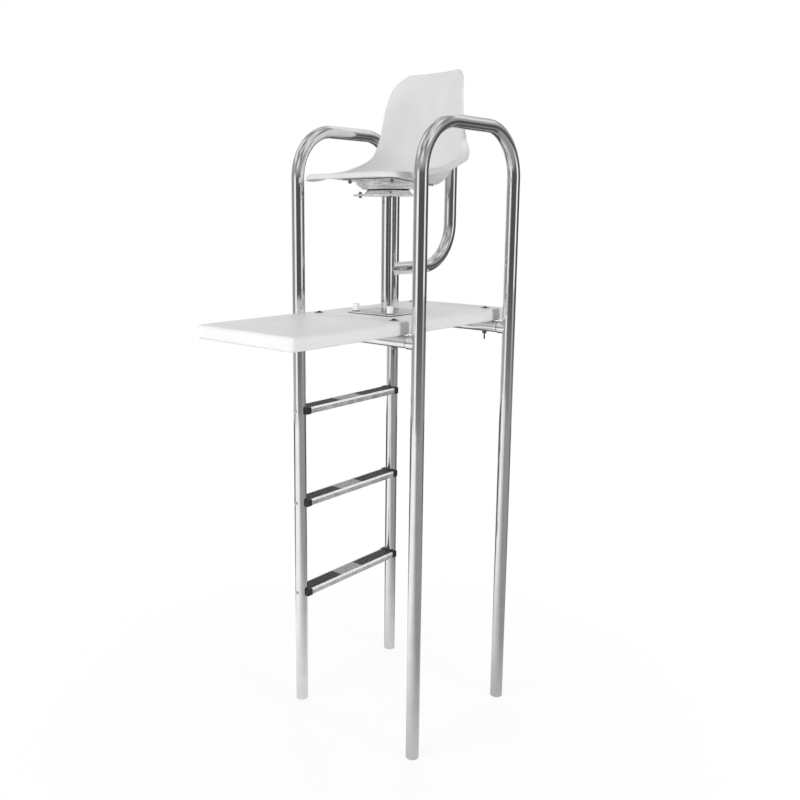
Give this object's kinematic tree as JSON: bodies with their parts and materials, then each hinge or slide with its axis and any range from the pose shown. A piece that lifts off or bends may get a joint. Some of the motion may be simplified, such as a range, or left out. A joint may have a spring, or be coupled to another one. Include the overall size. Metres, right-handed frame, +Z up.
{
  "type": "lifeguard chair",
  "caption": "Tall lifeguard chair of bent steel tube with a swivelling bucket seat on a post, a long foot platform, side ladder treads and a pole holder.",
  "frame": {"origin": "on the floor, in the middle of the chair's bounding box", "axes": "+Z up; the person in the seat faces -Y; the ladder is on the -X side"},
  "size_m": [0.5688, 1.041, 2.2197],
  "materials": {
    "polished_tube": "mirror-polished stainless steel",
    "steel_plate": "satin stainless sheet",
    "fastener": "plain stainless",
    "white_board": "satin gel coat",
    "white_shell": "satin moulded plastic",
    "white_cap": "smooth",
    "black_plastic": "satin",
    "tread_insert": "non-slip"
  },
  "bodies": {
    "stand": {"right_side_frame": "polished_tube", "left_side_frame": "polished_tube", "front_cross_tube": "polished_tube", "rear_cross_tube": "polished_tube", "seat_post": "polished_tube", "holder_tube": "polished_tube", "top_tread": "polished_tube", "top_tread_insert": "tread_insert", "top_tread_end_cap_front": "black_plastic", "top_tread_bolt_front": "fastener", "top_tread_end_cap_rear": "black_plastic", "top_tread_bolt_rear": "fastener", "middle_tread": "polished_tube", "middle_tread_insert": "tread_insert", "middle_tread_end_cap_front": "black_plastic", "middle_tread_bolt_front": "fastener", "middle_tread_end_cap_rear": "black_plastic", "middle_tread_bolt_rear": "fastener", "bottom_tread": "polished_tube", "bottom_tread_insert": "tread_insert", "bottom_tread_end_cap_front": "black_plastic", "bottom_tread_bolt_front": "fastener", "bottom_tread_end_cap_rear": "black_plastic", "bottom_tread_bolt_rear": "fastener", "post_base_plate": "steel_plate", "post_top_plate": "steel_plate", "swivel_lower_plate": "steel_plate", "front_left_cross_tube_collar": "steel_plate", "front_right_cross_tube_collar": "steel_plate", "rear_left_cross_tube_collar": "steel_plate", "rear_right_cross_tube_collar": "steel_plate", "platform_bolt_front_left": "fastener", "platform_nut_front_left": "fastener", "base_bolt_front_left": "fastener", "swivel_bolt_front_left": "fastener", "base_bolt_cap_front_left": "white_cap", "platform_bolt_front_right": "fastener", "platform_nut_front_right": "fastener", "base_bolt_front_right": "fastener", "swivel_bolt_front_right": "fastener", "base_bolt_cap_front_right": "white_cap", "platform_bolt_rear_left": "fastener", "platform_nut_rear_left": "fastener", "base_bolt_rear_left": "fastener", "swivel_bolt_rear_left": "fastener", "base_bolt_cap_rear_left": "white_cap", "platform_bolt_rear_right": "fastener", "platform_nut_rear_right": "fastener", "base_bolt_rear_right": "fastener", "swivel_bolt_rear_right": "fastener", "base_bolt_cap_rear_right": "white_cap", "platform_board": "white_board", "swivel_ball_ring": "black_plastic"},
    "swivel": {"swivel_upper_plate": "steel_plate", "swivel_centre_pin": "fastener", "seat_shell": "white_shell", "seat_screw_front_left": "fastener", "seat_screw_front_right": "fastener", "seat_screw_rear_left": "fastener", "seat_screw_rear_right": "fastener"}
  },
  "joints": [
    {"name": "seat_swivel", "type": "hinge", "parent": "stand", "child": "swivel", "pos_m": [0.0059, 0.1105, 1.825], "axis": [0, 0, 1], "range_deg": [-20, 20]}
  ]
}
